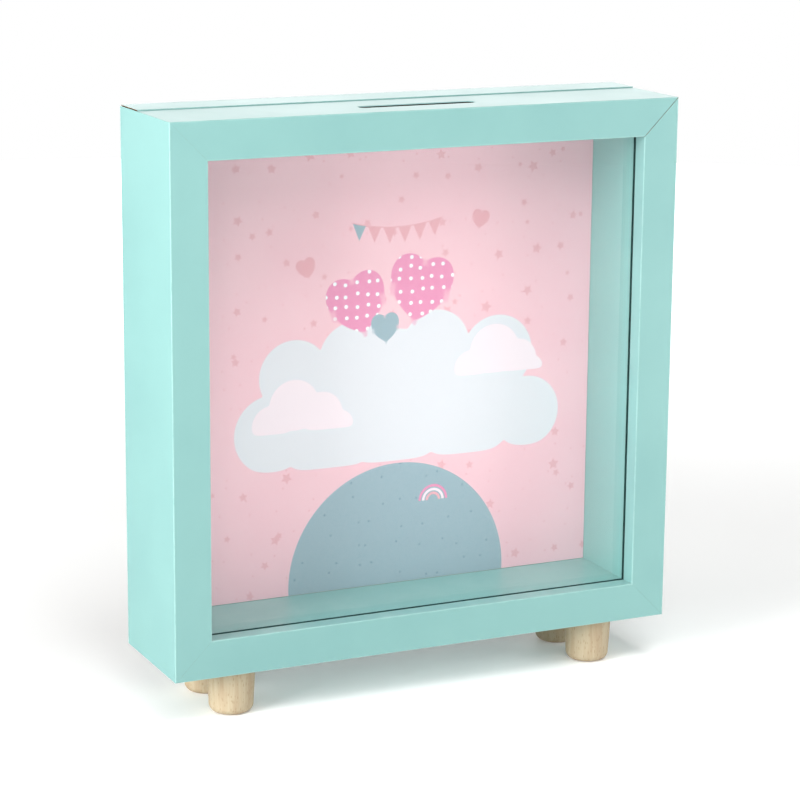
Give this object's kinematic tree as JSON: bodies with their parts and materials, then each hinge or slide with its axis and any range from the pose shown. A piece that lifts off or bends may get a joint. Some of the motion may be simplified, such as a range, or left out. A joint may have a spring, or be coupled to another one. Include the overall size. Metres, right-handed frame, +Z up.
{
  "type": "money box",
  "caption": "Square wooden money box on turned feet, with a glass front, a coin slot in the top, a picture card inside and a back that lifts out.",
  "frame": {"origin": "on the surface the box stands on, under the middle of the box", "axes": "+X to the right, +Y from the glass front to the back, +Z up"},
  "size_m": [0.2, 0.05, 0.2179],
  "materials": {
    "mint_paint": "satin mint green paint on fibreboard",
    "front_glass": "clear float glass",
    "pale_wood": "turned pale beech, bare and sanded",
    "pin_steel": "plain steel wire",
    "hardboard": "bare brown hardboard, smooth face",
    "printed_card": "matt card printed in pink, grey and slate blue"
  },
  "bodies": {
    "box": {"left_board": "mint_paint", "right_board": "mint_paint", "bottom_board": "mint_paint", "top_board": "mint_paint", "glass_pane": "front_glass", "foot_front_left": "pale_wood", "foot_front_right": "pale_wood", "foot_back_left": "pale_wood", "foot_back_right": "pale_wood", "dowel_front_left": "pale_wood", "dowel_front_right": "pale_wood", "dowel_back_left": "pale_wood", "dowel_back_right": "pale_wood", "pins_bottom_left": "pin_steel", "pins_bottom_right": "pin_steel", "pins_top_left": "pin_steel", "pins_top_right": "pin_steel"},
    "slide_back": {"back_panel": "hardboard", "picture_card": "printed_card", "top_strip": "mint_paint", "strip_pins": "pin_steel"}
  },
  "joints": [
    {"name": "back_lift", "type": "slide", "parent": "box", "child": "slide_back", "axis": [0, 0, 1], "range_m": [0, 0.2]}
  ]
}
